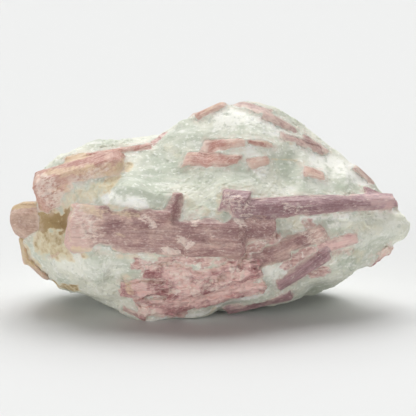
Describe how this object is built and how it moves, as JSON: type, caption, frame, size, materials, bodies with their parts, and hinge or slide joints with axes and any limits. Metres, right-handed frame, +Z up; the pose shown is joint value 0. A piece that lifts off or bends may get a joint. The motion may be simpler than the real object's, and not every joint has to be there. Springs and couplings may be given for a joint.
{
  "type": "rubellite in quartz matrix",
  "caption": "Rough hand-size mineral specimen: pink tourmaline prisms set in an irregular wedge of milky white quartz, resting on a flat break.",
  "frame": {"origin": "under the middle of the whole specimen, on the surface that it rests on", "axes": "+X along the specimen's length towards its pointed end, +Y towards the back, -Y towards the face with the large crystals, +Z up"},
  "size_m": [0.0918, 0.0478, 0.0468],
  "materials": {
    "quartz": "milky white quartz, slightly translucent, rough broken surface with a sugary sparkle",
    "rubellite": "mauve-pink tourmaline, striated lengthwise, satin to glossy, with white flecks",
    "pale_rubellite": "peach-pink weathered tourmaline, striated lengthwise, satin, with a tan skin in places"
  },
  "bodies": {
    "root": {"quartz_matrix": "quartz", "upper_left_crystal": "pale_rubellite", "left_stub_crystal": "pale_rubellite", "left_rim_crystal": "pale_rubellite", "central_crystal": "rubellite", "long_right_crystal": "rubellite", "middle_right_crystal": "rubellite", "steep_right_crystal": "rubellite", "pale_right_blade": "rubellite", "lower_right_tip_crystal": "rubellite", "lower_crystal_cluster": "rubellite", "lower_strip_crystal": "rubellite", "bottom_left_strip": "rubellite", "upper_face_crystal_1": "pale_rubellite", "upper_face_crystal_2": "pale_rubellite", "upper_face_crystal_3": "pale_rubellite", "upper_face_crystal_4": "pale_rubellite", "ridge_crystal_1": "rubellite", "ridge_crystal_2": "rubellite", "ridge_crystal_3": "rubellite", "ridge_crystal_4": "pale_rubellite", "ridge_crystal_5": "rubellite", "back_long_crystal": "rubellite", "back_upper_crystal": "pale_rubellite", "back_lower_crystal": "rubellite", "back_small_crystal": "pale_rubellite", "left_end_crystal": "pale_rubellite"}
  },
  "joints": []
}
